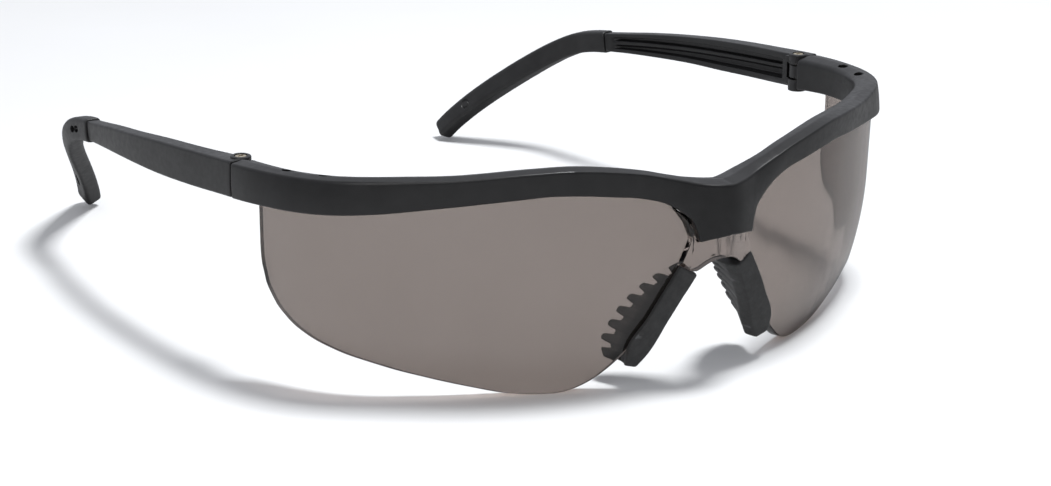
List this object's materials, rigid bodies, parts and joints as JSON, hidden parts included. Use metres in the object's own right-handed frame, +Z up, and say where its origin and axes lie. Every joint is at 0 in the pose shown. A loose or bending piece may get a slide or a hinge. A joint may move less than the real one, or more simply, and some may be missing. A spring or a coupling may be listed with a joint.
{
  "type": "safety glasses",
  "caption": "Wraparound half-frame safety glasses with a one-piece smoke lens, toothed rubber nose pads, folding temple arms and temple tips that slide to adjust their length.",
  "frame": {"origin": "on the supporting surface, under the middle of the bounding box, with the temples open", "axes": "+X to the wearer's left, +Y from the lens back along the temples, +Z up"},
  "size_m": [0.1476, 0.1772, 0.0471],
  "materials": {
    "black_nylon": "satin injection-moulded black nylon",
    "sleeve_nylon": "satin black nylon, slightly duller than the frame",
    "pad_rubber": "matte soft black thermoplastic rubber",
    "smoke_lens": "polished smoke-tinted polycarbonate",
    "screw_steel": "nickel-plated steel with a warm tint"
  },
  "bodies": {
    "front": {"brow_bar": "black_nylon", "lens": "smoke_lens", "nose_pad_left": "pad_rubber", "nose_pad_right": "pad_rubber"},
    "left_arm": {"temple_arm_left": "black_nylon", "hinge_screw_left": "screw_steel", "hinge_nut_left": "screw_steel"},
    "left_tip": {"temple_tip_left": "sleeve_nylon"},
    "right_arm": {"temple_arm_right": "black_nylon", "hinge_screw_right": "screw_steel", "hinge_nut_right": "screw_steel"},
    "right_tip": {"temple_tip_right": "sleeve_nylon"}
  },
  "joints": [
    {"name": "left_temple_fold", "type": "hinge", "parent": "front", "child": "left_arm", "pos_m": [0.0697, -0.02375, 0.0385], "axis": [0, 0, 1], "range_deg": [0, 92]},
    {"name": "right_temple_fold", "type": "hinge", "parent": "front", "child": "right_arm", "pos_m": [-0.0697, -0.02375, 0.0385], "axis": [0, 0, -1], "range_deg": [0, 84]},
    {"name": "left_tip_slide", "type": "slide", "parent": "left_arm", "child": "left_tip", "axis": [-0.1374, 0.9778, -0.1584], "range_m": [0, 0.005]},
    {"name": "right_tip_slide", "type": "slide", "parent": "right_arm", "child": "right_tip", "axis": [0.1374, 0.9778, -0.1584], "range_m": [0, 0.005]}
  ]
}
